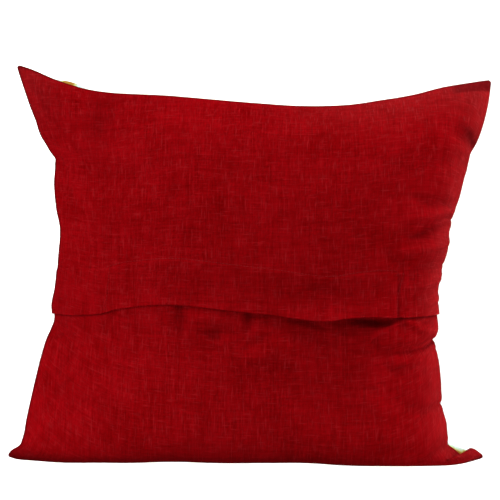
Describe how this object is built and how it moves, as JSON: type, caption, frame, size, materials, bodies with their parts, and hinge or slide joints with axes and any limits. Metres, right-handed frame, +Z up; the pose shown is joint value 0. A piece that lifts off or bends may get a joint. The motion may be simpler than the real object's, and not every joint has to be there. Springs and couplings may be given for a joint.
{
  "type": "filled cushion cover with envelope back",
  "caption": "Filled square cushion cover lying on its printed front, plain red back up, with an overlapping hemmed flap stitched shut at its ends.",
  "frame": {"origin": "middle of the footprint, on the surface that the cushion lies on", "axes": "+Z up out of the red back, +Y from the lower seam towards the upper seam, +X to the right seen from above"},
  "size_m": [0.4963, 0.4109, 0.1834],
  "materials": {
    "red_cloth": "plain weave linen look with slubs, matt",
    "printed_cloth": null
  },
  "bodies": {
    "root": {"front_panel": "printed_cloth", "lower_back_panel": "red_cloth", "upper_back_panel": "red_cloth"}
  },
  "joints": []
}
